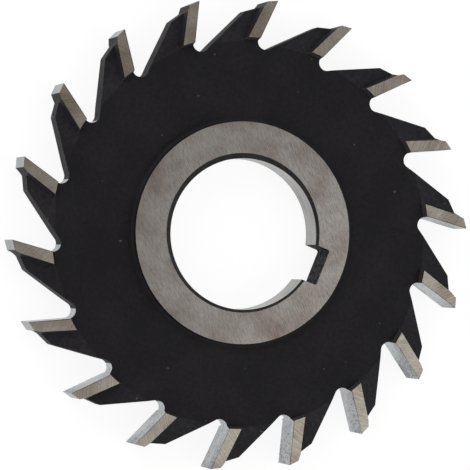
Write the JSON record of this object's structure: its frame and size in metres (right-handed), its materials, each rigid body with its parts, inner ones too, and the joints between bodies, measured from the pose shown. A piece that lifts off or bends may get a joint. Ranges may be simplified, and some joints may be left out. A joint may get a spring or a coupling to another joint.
{
  "type": "side and face milling cutter",
  "caption": "Thin disc milling cutter with a keyed bore, a ground hub, a blackened web and straight teeth that cut on the rim and both sides.",
  "frame": {"origin": "on the axis of the bore, in the plane of the lower face that the cutter rests on", "axes": "+Z along the bore, +X through the middle of the keyway; the upper side is the one the picture shows"},
  "size_m": [0.0998, 0.0994, 0.008],
  "materials": {
    "blackened_steel": "black oxide body, with hub faces, bore, side lands and cutting faces ground bright"
  },
  "bodies": {
    "root": {"milling_cutter": "blackened_steel"}
  },
  "joints": []
}
